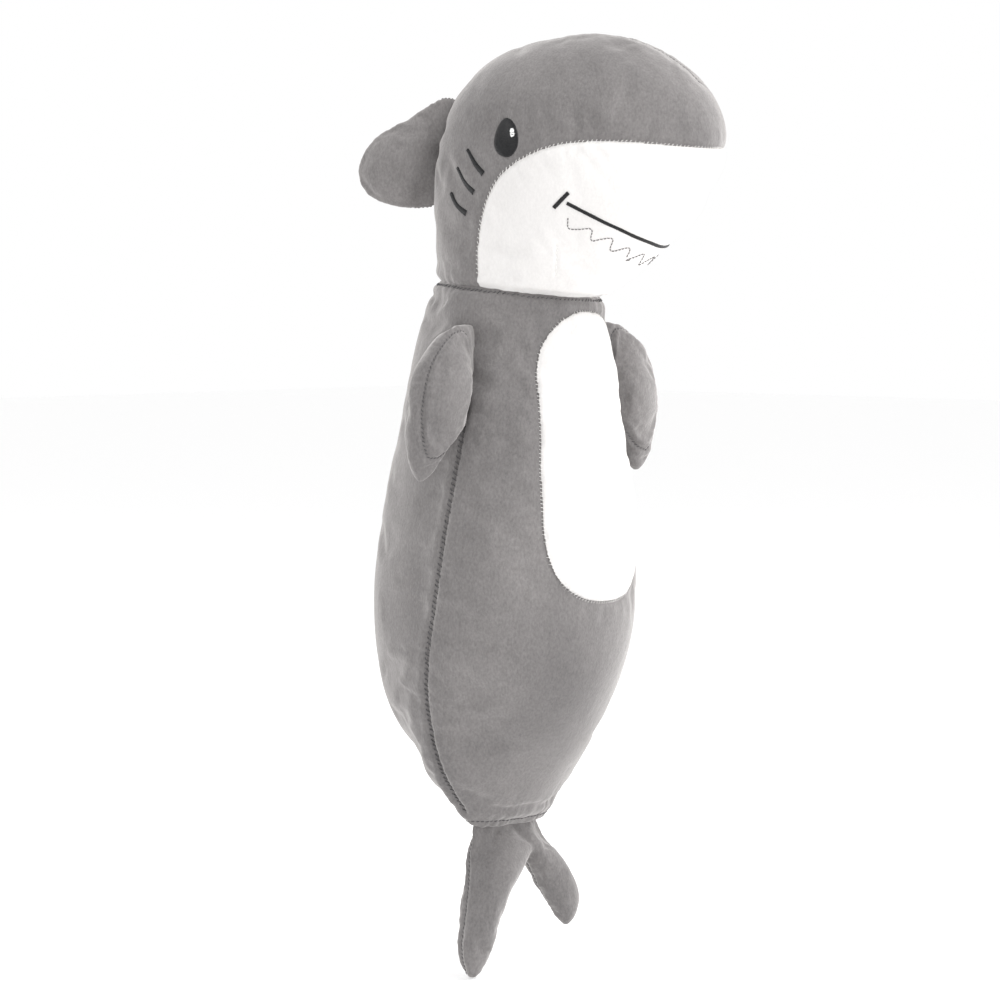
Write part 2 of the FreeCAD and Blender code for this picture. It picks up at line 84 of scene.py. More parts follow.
MM = 0.001
TINY = 1e-9
CLOTH_FRAMES = 20
PRESSURE = 4.0
THREAD_SIDES = 5
EASE_ROUNDS = 5
RELAX_IN, RELAX_OUT = 0.6, -0.62
SNAP_SHARE = 0.2         # a cut nearer to an edge's end than this moves the end instead
SAMPLE = 0.8 * MM        # between the points that a CAD band is followed by
FINE_SAMPLE = 0.5 * MM   # the same for small embroidery
NECK_PAST = 0.4 * MM     # torso and head go past the neck's plane by this much
TAIL_PAST = 2.5 * MM     # the torso goes past the tail's hinge by this much
END_STRETCH = 12 * MM    # over which the torso's lower end is stretched
NECK_STRETCH = 10 * MM
MOUTH_WIDTH = 2.2 * MM
PATCH_INSET = 0.9 * MM   # from the middle of the stitching to the belly patch's edge
PATCH_RISE, PATCH_ROUND = 1.25 * MM, 2.5 * MM
ROOT_WITHIN, ROOT_FURTHER = 12 * MM, 9 * MM    # how far a limb's root reaches
ROOT_HELD = 6 * MM       # of a limb's root that the cloth doesn't move

CAMERA_AZIMUTH = -46.0
CAMERA_ELEVATION = 3.4
CAMERA_DISTANCE = 2.5
CAMERA_LENS = 140.3
CAMERA_TARGET_SHIFT = Vector((-0.0035, 0.0275, 0.003))    # from the middle of the whole box

# name, azimuth, elevation, distance, size, power
LIGHTS = [
    ("key_light", 15, 58, 2.2, 0.8, 30),
    ("low_light", -15, -3, 2.0, 0.5, 7),
    ("right_rim_light", 75, 6, 2.2, 1.2, 26),
    ("left_rim_light", 195, 12, 2.2, 1.4, 24),
]
FLOOR_HALF = 9

GREY_DARK, GREY_LIGHT = (0.145, 0.138, 0.138), (0.235, 0.223, 0.22)
WHITE_DARK, WHITE_LIGHT = (0.63, 0.615, 0.605), (0.75, 0.735, 0.725)

for item in list(bpy.data.objects):
    bpy.data.objects.remove(item)
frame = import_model()
cad_low, cad_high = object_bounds()
CENTRE = (cad_low + cad_high) / 2


# ---------------------------------------------------------------- meshes and arrays
def arrays(mesh):
    """Points and triangles of a mesh as numpy arrays."""
    points = np.empty(len(mesh.vertices) * 3)
    mesh.vertices.foreach_get("co", points)
    mesh.calc_loop_triangles()
    corners = np.empty(len(mesh.loop_triangles) * 3, int)
    mesh.loop_triangles.foreach_get("vertices", corners)
    return points.reshape(-1, 3), corners.reshape(-1, 3)


def merged(names):
    """Points and triangles of several CAD nodes together."""
    all_points, all_corners, count = [], [], 0
    for name in names:
        points, corners = arrays(frame["nodes"][name].data)
        all_points.append(points)
        all_corners.append(corners + count)
        count += len(points)
    return np.concatenate(all_points), np.concatenate(all_corners)


def new_piece(name, points, faces):
    mesh = bpy.data.meshes.new(name)
    mesh.from_pydata([tuple(p) for p in points], [], [tuple(f) for f in faces])
    piece = bpy.data.objects.new(name, mesh)
    bpy.context.scene.collection.objects.link(piece)
    mesh.shade_smooth()
    return piece


def apply_modifiers(piece):
    graph = bpy.context.evaluated_depsgraph_get()
    mesh = bpy.data.meshes.new_from_object(piece.evaluated_get(graph), depsgraph=graph)
    piece.modifiers.clear()
    piece.data = mesh


def points_of(piece):
    points = np.empty(len(piece.data.vertices) * 3)
    piece.data.vertices.foreach_get("co", points)
    return points.reshape(-1, 3)


def normals_of(piece):
    normals = np.empty(len(piece.data.vertices) * 3)
    piece.data.vertices.foreach_get("normal", normals)
    return normals.reshape(-1, 3)


def set_points(piece, points):
    piece.data.vertices.foreach_set("co", np.asarray(points, np.float32).ravel())
    piece.data.update()


def edges_of(piece):
    edges = np.empty(len(piece.data.edges) * 2, int)
    piece.data.edges.foreach_get("vertices", edges)
    return edges.reshape(-1, 2)


def relaxed(points, edges, rounds):
    """Evens out a surface without shrinking it: each round pulls in, then pushes back out."""
    count = np.bincount(edges.ravel(), minlength=len(points))[:, None]
    for amount in (RELAX_IN, RELAX_OUT) * rounds:
        total = np.zeros_like(points)
        for a, b in ((0, 1), (1, 0)):
            np.add.at(total, edges[:, a], points[edges[:, b]])
        points = points + amount * (total / count - points)
    return points


def tree_of_pieces(*pieces):
    all_points, all_faces = [], []
    for piece in pieces:
        start = len(all_points)
        all_points += [v.co.copy() for v in piece.data.vertices]
        all_faces += [[start + i for i in f.vertices] for f in piece.data.polygons]
    return BVHTree.FromPolygons(all_points, all_faces)


def keep_one_island(piece):
    """Removes everything that isn't joined to the highest point."""
    shell = bmesh.new()
    shell.from_mesh(piece.data)
    todo = [max(shell.verts, key=lambda v: v.co.z)]
    found = set(todo)
    while todo:
        for edge in todo.pop().link_edges:
            for vert in edge.verts:
                if vert not in found:
                    found.add(vert)
                    todo.append(vert)
    bmesh.ops.delete(shell, geom=[v for v in shell.verts if v not in found], context="VERTS")
    shell.to_mesh(piece.data)
    shell.free()


# ---------------------------------------------------------------- lines along the seams
def surface_samples(name, spacing):
    """Points all over a CAD node's surface, no further apart than spacing."""
    points, corners = merged([name])
    a, b, c = (points[corners[:, k]] for k in range(3))
    longest = np.max([np.linalg.norm(p - q, axis=1) for p, q in ((a, b), (b, c), (c, a))], axis=0)
    steps = np.ceil(longest / spacing).astype(int)
    found = [points]
    for count in np.unique(steps[steps > 1]):
        large = steps == count
        for i in range(count + 1):
            for j in range(count + 1 - i):
                found.append(a[large] + (b - a)[large] * (i / count) + (c - a)[large] * (j / count))
    grid = np.round(np.concatenate(found) / (0.4 * spacing)).astype(int)
    return np.unique(grid, axis=0) * (0.4 * spacing)


def walk(cloud, free, start, step):
    """Follows a band of points from start, taking away from free all that it passes."""
    here = cloud[np.linalg.norm(cloud - start, axis=1) < step].mean(axis=0)
    line = []
    while True:
        distance = np.linalg.norm(cloud - here, axis=1)
        free &= distance > 1.25 * step
        line.append(here)
        ahead = np.where(free, distance, np.inf)
        if len(line) > 1:
            ahead -= 0.6 * (cloud - here) @ unit(here - line[-2])
        nearest = ahead.argmin()
        if not free.any() or distance[nearest] > 3 * step:
            return line
        around = np.linalg.norm(cloud - cloud[nearest], axis=1) < 0.9 * step
        here = cloud[around].mean(axis=0)


def bands(name, step=2.2 * MM):
    """The middle of each thin band in a CAD node, longest first.  A closed one ends where it starts."""
    cloud = surface_samples(name, SAMPLE)
    free = np.ones(len(cloud), bool)
    lines = []
    while free.any():
        low = np.flatnonzero(free)[cloud[free, 2].argmin()]
        onward = walk(cloud, free, cloud[low], step)
        closed = len(onward) > 12 and np.linalg.norm(onward[0] - onward[-1]) < 3 * step
        back = [] if closed else walk(cloud, free, onward[0], step)
        line = np.array(back[:0:-1] + onward)
        if len(line) > 5:
            lines.append(eased(line, closed))
    return sorted(lines, key=len, reverse=True)


def rim_of(name, count=60):
    """The outer edge of a flat ring, as a closed line."""
    cloud = surface_samples(name, SAMPLE)
    middle = (cloud.max(axis=0) + cloud.min(axis=0)) / 2
    line = []
    for angle in np.arange(count) * 2 * math.pi / count:
        way = np.array([math.cos(angle), math.sin(angle), 0])
        line.append(cloud[((cloud - middle) @ way).argmax()])
    return eased(np.array(line), True)


def eased(line, closed):
    """A line with its small wobbles taken out."""
    for _ in range(EASE_ROUNDS):
        before, after = np.roll(line, 1, axis=0), np.roll(line, -1, axis=0)
        if not closed:
            before[0], after[-1] = line[0], line[-1]
        line = (before + 2 * line + after) / 4
    return np.concatenate([line, line[:1]]) if closed else line


def unit(vector):
    return vector / max(np.linalg.norm(vector), TINY)


def along(points, line):
    """For every point: distance to the line, length along it, its nearest place and direction."""
    tree = KDTree(len(line))
    for i, spot in enumerate(line):
        tree.insert(spot, i)
    tree.balance()
    nearest = np.array([tree.find(p)[1] for p in points], int)
    starts = np.concatenate([[0], np.cumsum(np.linalg.norm(np.diff(line, axis=0), axis=1))])
    best = np.full(len(points), np.inf)
    length, place, way = np.zeros(len(points)), np.zeros_like(points), np.zeros_like(points)
    for shift in (-1, 0):
        i = np.clip(nearest + shift, 0, len(line) - 2)
        run = starts[i + 1] - starts[i]
        direction = (line[i + 1] - line[i]) / run[:, None]
        share = np.clip(np.einsum("ij,ij->i", points - line[i], direction), 0, run)
        spot = line[i] + share[:, None] * direction
        distance = np.linalg.norm(points - spot, axis=1)
        nearer = distance < best
        best[nearer] = distance[nearer]
        length[nearer] = (starts[i] + share)[nearer]
        place[nearer], way[nearer] = spot[nearer], direction[nearer]
    return best, length, place, way


def seam_wave(length, seed):
    """Uneven puckers along a seam, about -1 to 1."""
    turns = 2 * math.pi * length
    slow = turns / (10.5 * MM) + 1.7 * np.sin(turns / (43 * MM) + seed)
    quick = turns / (5.9 * MM) + 2.3 * np.sin(turns / (31 * MM) + 2 * seed)
    return 0.65 * np.sin(slow) + 0.35 * np.sin(quick)


def pull_in(piece, line, depth, width, pucker, reach, roll=0.0, seed=0.0):
    """Draws the skin in along a seam, with a roll on both sides of it and small puckers.

    Every measure but the seed is in millimetres.
    """
    depth, width, pucker, reach, roll = (MM * size for size in (depth, width, pucker, reach, roll))
    points, normals = points_of(piece), normals_of(piece)
    low, high = line.min(axis=0) - 4 * reach, line.max(axis=0) + 4 * reach
    near = np.all((points > low) & (points < high), axis=1)
    distance, length, _, _ = along(points[near], line)
    groove = -depth * np.exp(-(distance / width) ** 2)
    swell = roll * np.exp(-((distance - 2.6 * width) / (1.6 * width)) ** 2)
    off_seam = 1 - np.exp(-distance / (1.5 * MM))
    folds = pucker * seam_wave(length, seed) * np.exp(-distance / reach) * off_seam
    points[near] += normals[near] * (groove + swell + folds)[:, None]
    set_points(piece, points)


def unevenness(piece, amount, size, seed):
    """Slow swells of the filling under the skin."""
    points, normals = points_of(piece), normals_of(piece)
    total = np.zeros(len(points))
    rng = np.random.default_rng(seed)
    for _ in range(9):
        direction = rng.normal(size=3)
        direction *= 2 * math.pi / (size * rng.uniform(0.7, 1.5) * np.linalg.norm(direction))
        total += np.sin(points @ direction + rng.uniform(0, 6.28)) / 3
    set_points(piece, points + normals * (amount * total)[:, None])


# ---------------------------------------------------------------- stuffed skins
def skin_of(name, nodes, voxel, rounds=3):
    """One closed skin round a stuffed body's panels and filling."""
    points, corners = merged(nodes)
    piece = new_piece(name, points, corners)
    remesh = piece.modifiers.new("remesh", "REMESH")
    remesh.mode = "VOXEL"
    remesh.voxel_size = voxel
    apply_modifiers(piece)
    keep_one_island(piece)
    set_points(piece, relaxed(points_of(piece), edges_of(piece), rounds))
    piece.data.shade_smooth()
    return piece


def meet_plane(piece, point, axis, within, past):
    """Stretches the end of a skin that lies along a plane, until it is past the plane."""
    points = points_of(piece)
    height = (points - np.array(point)) @ np.array(axis)
    below_top = np.clip(1 - (height.max() - height) / within, 0, 1)
    points += np.outer(below_top * (past - height.max()), np.array(axis))
    set_points(piece, points)


def blow_up(piece, held, cap, growth):
    """Runs the skin as cloth under pressure, with the held points pinned."""
    rest = points_of(piece)
    pins = piece.vertex_groups.new(name="pins")
    pins.add([int(i) for i in np.flatnonzero(held)], 1.0, "REPLACE")
    cloth = piece.modifiers.new("cloth", "CLOTH")
    settings = cloth.settings
    settings.quality = 5
    settings.mass = 0.2
    settings.bending_stiffness = 0.8
    settings.use_pressure = True
    settings.uniform_pressure_force = PRESSURE
    settings.shrink_min = -growth
    settings.vertex_group_mass = pins.name
    settings.effector_weights.gravity = 0
    cloth.collision_settings.use_collision = False
    cloth.collision_settings.use_self_collision = False
    for step in range(1, CLOTH_FRAMES + 1):
        bpy.context.scene.frame_set(step)
    graph = bpy.context.evaluated_depsgraph_get()
    moved = np.empty(len(rest) * 3)
    piece.evaluated_get(graph).data.vertices.foreach_get("co", moved)
    shift = moved.reshape(-1, 3) - rest
    size = np.maximum(np.linalg.norm(shift, axis=1), TINY)
    shift *= (cap * np.tanh(size / cap) / size)[:, None]
    piece.modifiers.clear()
    piece.vertex_groups.clear()
    bpy.context.scene.frame_set(1)
    set_points(piece, rest + shift)


def subdivide(piece, levels):
    modifier = piece.modifiers.new("subdivide", "SUBSURF")
    modifier.levels = modifier.render_levels = levels
    apply_modifiers(piece)
    piece.data.shade_smooth()


def near_lines(piece, lines, reach):
    """Which points of a piece are nearer to any of the lines than reach."""
    points = points_of(piece)
    held = np.zeros(len(points), bool)
    for line in lines:
        held |= along(points, line)[0] < reach
    return held


def reach_for(piece, neighbour, within, further):
    """Stretches a limb's root until it goes into what it is sewn to."""
    points = points_of(piece)
    for i, point in enumerate(points):
        place, _, _, distance = neighbour.find_nearest(Vector(point))
        if distance < within:
            towards = np.array(place) - point
            points[i] += towards / max(distance, TINY) * further * (1 - distance / within)
    set_points(piece, points)


def signed_side(points, normals, line):
    """Distance to a line that runs on the surface, negative on one side of it."""
    distance, _, place, way = along(points, line)
    side = np.einsum("ij,ij->i", points - place, np.cross(normals, way))
    return np.where(side < 0, -distance, distance)


def crossing_edges(skin, layer):
    return [e for e in skin.edges if e.verts[0][layer] * e.verts[1][layer] < 0]


def share_to_zero(first, second):
    """How far along an edge its value passes 0."""
    return abs(first) / max(abs(first) + abs(second), TINY)


def cut_out(piece, field, name, keep_rest):
    """Moves the part of a skin where field is above 0 into its own piece, cut exactly at 0."""
    skin = bmesh.new()
    skin.from_mesh(piece.data)
    layer = skin.verts.layers.float.new("field")
    skin.verts.ensure_lookup_table()
    for vert, value in zip(skin.verts, field):
        vert[layer] = value
    for edge in crossing_edges(skin, layer):
        a, b = sorted(edge.verts, key=lambda v: abs(v[layer]))
        share = share_to_zero(a[layer], b[layer])
        if a[layer] * b[layer] < 0 and share < SNAP_SHARE:
            a.co = a.co.lerp(b.co, share)
            a[layer] = 0.0
    crossing = crossing_edges(skin, layer)
    share_of = {e: share_to_zero(*(v[layer] for v in e.verts)) for e in crossing}
    made = bmesh.ops.bisect_edges(skin, edges=crossing, cuts=1, edge_percents=share_of)
    for item in made["geom_split"]:
        if isinstance(item, bmesh.types.BMVert):
            item[layer] = 0.0
    bmesh.ops.connect_verts(skin, verts=[v for v in skin.verts if v[layer] == 0.0])
    inside = [f for f in skin.faces if sum(v[layer] for v in f.verts) > 0]
    outside = [f for f in skin.faces if sum(v[layer] for v in f.verts) <= 0]
    skin.faces.index_update()
    other = skin.copy()
    other.faces.ensure_lookup_table()
    gone = [other.faces[f.index] for f in outside]
    bmesh.ops.delete(other, geom=gone, context="FACES")
    part = new_piece(name, [], [])
    other.to_mesh(part.data)
    part.data.shade_smooth()
    if not keep_rest:
        bmesh.ops.delete(skin, geom=inside, context="FACES")
        skin.to_mesh(piece.data)
        piece.data.shade_smooth()
    skin.free()
    other.free()
    return part


# ---------------------------------------------------------------- threads
def tubes(name, paths, normals, radius):
    """Short threads as one mesh: each path is an array of points with a normal at each."""
    angles = np.arange(THREAD_SIDES) * 2 * math.pi / THREAD_SIDES
    points, faces = [], []
    for path, ups in zip(paths, normals):
        start, last = len(points), len(path) - 1
        tangents = np.gradient(path, axis=0)
        tangents /= np.maximum(np.linalg.norm(tangents, axis=1), TINY)[:, None]
        sides = np.cross(tangents, ups)
        sides /= np.maximum(np.linalg.norm(sides, axis=1), TINY)[:, None]
        ups = np.cross(sides, tangents)
        for i, (point, side, up) in enumerate(zip(path, sides, ups)):
            size = radius * (0.45 if i in (0, last) else 1.0)
            points += [point + size * (side * math.cos(a) + up * math.sin(a)) for a in angles]
        for i in range(last):
            for k in range(THREAD_SIDES):
                a, b = start + i * THREAD_SIDES, start + (i + 1) * THREAD_SIDES
                n = (k + 1) % THREAD_SIDES
                faces.append((a + k, b + k, b + n, a + n))
        faces.append([start + k for k in range(THREAD_SIDES)])
        faces.append([start + last * THREAD_SIDES + k for k in reversed(range(THREAD_SIDES))])
    return new_piece(name, points, faces)


def spaced(line, pitch):
    """Points at an even pitch along a line, with its direction at each and the share of it passed."""
    runs = np.linalg.norm(np.diff(line, axis=0), axis=1)
    stops = np.concatenate([[0], np.cumsum(runs)])
    count = max(2, int(stops[-1] / pitch))
    wanted = np.linspace(pitch / 2, stops[-1] - pitch / 2, count)
    places = np.stack([np.interp(wanted, stops, line[:, k]) for k in range(3)], axis=1)
    ahead = np.stack([np.interp(wanted + pitch / 4, stops, line[:, k]) for k in range(3)], axis=1)
    behind = np.stack([np.interp(wanted - pitch / 4, stops, line[:, k]) for k in range(3)], axis=1)
    ways = ahead - behind
    return places, ways / np.linalg.norm(ways, axis=1)[:, None], wanted / stops[-1]


def laid(skin, places, lifts):
    """Points put down on a skin and lifted off it, with the skin's normals."""
    path, ups = [], []
    for place, lift in zip(places, lifts):
        spot, normal, _, _ = skin.find_nearest(Vector(place))
        path.append(np.array(spot + normal * lift))
        ups.append(np.array(normal))
    return np.array(path), np.array(ups)


def stitches(name, skin, lines, pitch, length, radius, slant=0.35):
    """Rows of single stitches along seams, a little askew, each dipping in at both ends.

    Pitch, length and radius are in millimetres.
    """
    pitch, length, radius = pitch * MM, length * MM, radius * MM
    paths, ups = [], []
    arch = np.array([-0.9, 0.55, 0.9, 0.55, -0.9]) * radius
    rng = np.random.default_rng(len(lines))
    for place, way in (stop for line in lines for stop in zip(*spaced(line, pitch)[:2])):
        normal = np.array(skin.find_nearest(Vector(place))[1])
        turn = slant + rng.normal(0, 0.08)
        direction = way * math.cos(turn) + np.cross(normal, way) * math.sin(turn)
        row = [place + direction * length * (share - 0.5) for share in (0, 0.22, 0.5, 0.78, 1)]
        path, up = laid(skin, row, arch)
        paths.append(path)
        ups.append(up)
    return tubes(name, paths, ups, radius)


def satin(name, skin, line, half_widths, pitch, radius, height):
    """Satin stitch: threads side by side across a line, over a low padded ridge.

    Pitch, radius and height are in millimetres.
    """
    pitch, radius, height = pitch * MM, radius * MM, height * MM
    paths, ups = [], []
    places, ways, shares = spaced(line, pitch)
    across = np.linspace(-1, 1, 9)
    profile = height * np.sqrt(np.maximum(0, 1 - across ** 2)) - 0.5 * radius
    rng = np.random.default_rng(len(places))
    for place, way, share in zip(places, ways, shares):
        half = half_widths(share) + rng.normal(0, 0.05 * MM)
        if half < 0.25 * MM:
            continue
        normal = np.array(skin.find_nearest(Vector(place))[1])
        side = np.cross(normal, way)
        row = [place + side * half * t for t in across]
        path, up = laid(skin, row, profile * min(1.0, half / MM))
        paths.append(path)
        ups.append(up)
    return tubes(name, paths, ups, radius)


def oval_of(cloud):
    """An oval patch's long middle line, and its half width at each share of that line."""
    middle = (cloud.max(axis=0) + cloud.min(axis=0)) / 2
    _, _, axes = np.linalg.svd(cloud - cloud.mean(axis=0), full_matrices=False)
    reach = [np.abs((cloud - middle) @ axis).max() for axis in axes[:2]]
    line = [middle + axes[0] * reach[0] * share for share in np.linspace(-1, 1, 15)]
    return np.array(line), lambda share: reach[1] * math.sqrt(max(0.0, 1 - (2 * share - 1) ** 2))


def spine(cloud):
    """A short patch's long middle line, and its half width at each share of that line."""
    middle = cloud.mean(axis=0)
    _, _, axes = np.linalg.svd(cloud - middle, full_matrices=False)
    lengthwise, across = (cloud - middle) @ axes[0], (cloud - middle) @ axes[1]
    bins = np.linspace(lengthwise.min(), lengthwise.max(), 14)
    line, halves = [], []
    for low, high in zip(bins, bins[1:]):
        row = across[(lengthwise >= low - 0.3 * MM) & (lengthwise <= high + 0.3 * MM)]
        centre, half = (row.max() + row.min()) / 2, (row.max() - row.min()) / 2
        line.append(middle + axes[0] * (low + high) / 2 + axes[1] * centre)
        halves.append(half)
    line[0] -= axes[0] * (bins[1] - bins[0]) / 2
    line[-1] += axes[0] * (bins[1] - bins[0]) / 2
    shares = np.linspace(0, 1, len(halves))
    return np.array(line), lambda share: float(np.interp(share, shares, halves))


# ---------------------------------------------------------------- materials
def material(name):
    made = bpy.data.materials.new(name)
    made.use_nodes = True
    return made, made.node_tree, made.node_tree.nodes["Principled BSDF"]


def noise_node(tree, scale, detail, stretch=(1, 1, 1), roughness=0.5):
    where = tree.nodes.new("ShaderNodeTexCoord")
    mapping = tree.nodes.new("ShaderNodeMapping")
    mapping.inputs["Scale"].default_value = stretch
    made = tree.nodes.new("ShaderNodeTexNoise")
    made.inputs["Scale"].default_value = scale
    made.inputs["Detail"].default_value = detail
    made.inputs["Roughness"].default_value = roughness
    tree.links.new(where.outputs["Object"], mapping.inputs["Vector"])
    tree.links.new(mapping.outputs["Vector"], made.inputs["Vector"])
    return made.outputs["Fac"]


def ramp(tree, source, stops):
    made = tree.nodes.new("ShaderNodeValToRGB")
    for element, (position, colour) in zip(made.color_ramp.elements, stops):
        element.position, element.color = position, (*colour, 1)
    tree.links.new(source, made.inputs["Fac"])
    return made.outputs["Color"]


def mixed(tree, blend, share, first, second):
    made = tree.nodes.new("ShaderNodeMix")
    made.data_type = "RGBA"
    made.blend_type = blend
    made.inputs["Factor"].default_value = share
    tree.links.new(first, made.inputs[6])
    tree.links.new(second, made.inputs[7])
    return made.outputs[2]


def bumped(tree, source, strength, distance, under=None):
    made = tree.nodes.new("ShaderNodeBump")
    made.inputs["Strength"].default_value = strength
    made.inputs["Distance"].default_value = distance
    tree.links.new(source, made.inputs["Height"])
    if under is not None:
        tree.links.new(under, made.inputs["Normal"])
    return made.outputs["Normal"]


def pile(name, dark, light, grain, sheen, relief):
    """Short brushed pile: broad swipes of the nap, a fine grain of fibre tips, and sheen."""
    made, tree, shader = material(name)
    swipes = ramp(tree, noise_node(tree, 13, 3, (1, 1, 0.55), 0.5), [(0.25, dark), (0.75, light)])
    dim = tuple(1 - grain for _ in range(3))
    bright = tuple(1 + 0.4 * grain for _ in range(3))
    tips = ramp(tree, noise_node(tree, 720, 3, (1, 1, 0.6), 0.7), [(0.32, dim), (0.68, bright)])
    blots = ramp(tree, noise_node(tree, 120, 3, (1, 1, 0.7), 0.6), [(0.3, dim), (0.7, (1, 1, 1))])
    colour = mixed(tree, "MULTIPLY", 1.0, swipes, tips)
    colour = mixed(tree, "MULTIPLY", 0.45, colour, blots)
    tree.links.new(colour, shader.inputs["Base Color"])
    shader.inputs["Roughness"].default_value = 0.95
    shader.inputs["Specular IOR Level"].default_value = 0.12
    shader.inputs["Sheen Weight"].default_value = sheen
    shader.inputs["Sheen Roughness"].default_value = 0.45
    shader.inputs["Sheen Tint"].default_value = (1.0, 0.97, 0.95, 1)
    soft = bumped(tree, noise_node(tree, 170, 3, (1, 1, 0.6)), 0.25, relief * MM)
    fine = bumped(tree, noise_node(tree, 900, 2, (1, 1, 0.55), 0.7), 0.55, 0.45 * relief * MM, soft)
    tree.links.new(fine, shader.inputs["Normal"])
    return made


def yarn(name, dark, light, roughness, sheen):
    """Spun thread: uneven dye and fine twisted fibres."""
    made, tree, shader = material(name)
    colour = ramp(tree, noise_node(tree, 900, 3), [(0.35, dark), (0.65, light)])
    tree.links.new(colour, shader.inputs["Base Color"])
    shader.inputs["Roughness"].default_value = roughness
    shader.inputs["Specular IOR Level"].default_value = 0.35
    shader.inputs["Sheen Weight"].default_value = sheen
    shader.inputs["Sheen Roughness"].default_value = 0.4
    normal = bumped(tree, noise_node(tree, 2600, 2), 0.4, 0.12 * MM)
    tree.links.new(normal, shader.inputs["Normal"])
    return made


# name, darkest colour, lightest colour, roughness, sheen
YARNS = [
    ("grey_thread", (0.05, 0.048, 0.05), (0.1, 0.097, 0.1), 0.7, 0.2),
    ("white_thread", (0.72, 0.70, 0.68), (0.86, 0.85, 0.83), 0.7, 0.2),
    ("black_embroidery", (0.006, 0.006, 0.007), (0.016, 0.016, 0.017), 0.55, 0.08),
    ("white_embroidery", (0.8, 0.8, 0.79), (0.93, 0.93, 0.93), 0.5, 0.1),
    ("grey_embroidery", (0.12, 0.115, 0.115), (0.22, 0.21, 0.21), 0.7, 0.1),
]
MATERIALS = {
    "grey_plush": pile("grey_plush", GREY_DARK, GREY_LIGHT, grain=0.22, sheen=0.55, relief=1.0),
    "white_plush": pile("white_plush", WHITE_DARK, WHITE_LIGHT, grain=0.05, sheen=0.25, relief=0.5),
}
MATERIALS.update({row[0]: yarn(*row) for row in YARNS})


def dress(piece, slot, *nodes):
    """Gives a piece the material named by slot and hides the CAD nodes that it stands for."""
    piece.data.materials.clear()
    piece.data.materials.append(MATERIALS[slot])
    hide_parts(*nodes)


def hinge(joint_name):
    """A point on a joint's axis, and the direction of the axis."""
    joint = next(j for j in frame["joints"] if j["name"] == joint_name)
    return Vector(joint["pos_m"]), Vector(joint["axis"]).normalized()


# ---------------------------------------------------------------- torso and belly
def make_torso():
    nodes = ["torso_front_panel", "torso_back_panel", "torso_filling"]
    seams = {side: bands(f"{side}_side_seam_thread")[0] for side in ("right", "left")}
    neck, bottom = bands("neck_seam_thread")[0], rim_of("bottom_seam_thread")
    patch_edge = bands("belly_patch_stitching")[0]
    torso = skin_of("torso_cover", nodes, 4.2 * MM)
    neck_point, neck_axis = hinge("head_turn")
    meet_plane(torso, neck_point, neck_axis, NECK_STRETCH, NECK_PAST)
    meet_plane(torso, hinge("tail_swing")[0], Vector((0, 0, -1)), END_STRETCH, TAIL_PAST)
    lines = [*seams.values(), neck, bottom, patch_edge]
    blow_up(torso, near_lines(torso, lines, 4 * MM), 3.0 * MM, 0.03)
    subdivide(torso, 2)
    unevenness(torso, 0.5 * MM, 60 * MM, 3)
    for i, seam in enumerate(seams.values()):
        pull_in(torso, seam, depth=2.0, width=1.9, pucker=0.5, reach=8, roll=0.5, seed=1.0 + i)
    pull_in(torso, neck, depth=1.6, width=2.0, pucker=0.35, reach=7, roll=0.3, seed=4.0)
    pull_in(torso, bottom, depth=0.3, width=2.0, pucker=0.5, reach=14, seed=5.0)
    pull_in(torso, patch_edge, depth=0.5, width=2.0, pucker=0.15, reach=5, seed=6.0)
    dress(torso, "grey_plush", *nodes)
    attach(torso, "torso")

    skin = tree_of_pieces(torso)
    for side, seam in seams.items():
        row = stitches(f"{side}_side_seam_stitches", skin, [seam], pitch=3.4, length=2.9, radius=0.32)
        dress(row, "grey_thread", f"{side}_side_seam_thread")
        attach(row, "torso")
    for name, line in (("neck_seam", neck), ("bottom_seam", bottom)):
        row = stitches(f"{name}_stitches", skin, [line], pitch=3.2, length=2.6, radius=0.3)
        dress(row, "grey_thread", f"{name}_thread")
        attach(row, "torso")
    make_belly(torso, patch_edge)
    return torso


def make_belly(torso, edge):
    points, normals = points_of(torso), normals_of(torso)
    field = signed_side(points, normals, edge)
    middle = np.array((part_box("belly_patch")[0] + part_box("belly_patch")[1]) / 2)
    front = normals[:, 1] < 0
    nearest = np.argmin(np.linalg.norm(points - middle, axis=1))
    field = field * np.sign(field[nearest]) - PATCH_INSET
    belly = cut_out(torso, np.where(front, field, -1.0), "belly_patch_cover", True)
    keep_one_island(belly)
    points, normals = points_of(belly), normals_of(belly)
    inset = along(points, edge)[0]
    slope = np.clip(1 - (inset - PATCH_INSET) / PATCH_ROUND, 0, 1)
    rise = PATCH_RISE * np.sqrt(1 - slope ** 2) + 0.1 * MM
    set_points(belly, points + normals * rise[:, None])
    turn_edge_in(belly, 1.2 * MM)
    dress(belly, "white_plush", "belly_patch")
    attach(belly, "torso")
    skin = tree_of_pieces(torso, belly)
    row = stitches("belly_patch_edge_stitches", skin, [edge], 2.4, 2.2, 0.22, slant=1.1)
    dress(row, "white_thread", "belly_patch_stitching")
    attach(row, "torso")


def turn_edge_in(piece, depth):
    """Folds an open edge down into what lies under it."""
    sheet = bmesh.new()
    sheet.from_mesh(piece.data)
    border = [e for e in sheet.edges if e.is_boundary]
    made = bmesh.ops.extrude_edge_only(sheet, edges=border)["geom"]
    normals = {v: v.normal.copy() for v in sheet.verts}
    for vert in [g for g in made if isinstance(g, bmesh.types.BMVert)]:
        source = [e.other_vert(vert) for e in vert.link_edges if not e.is_boundary]
        vert.co -= normals[source[0]] * depth
    sheet.to_mesh(piece.data)
    sheet.free()
    piece.data.shade_smooth()


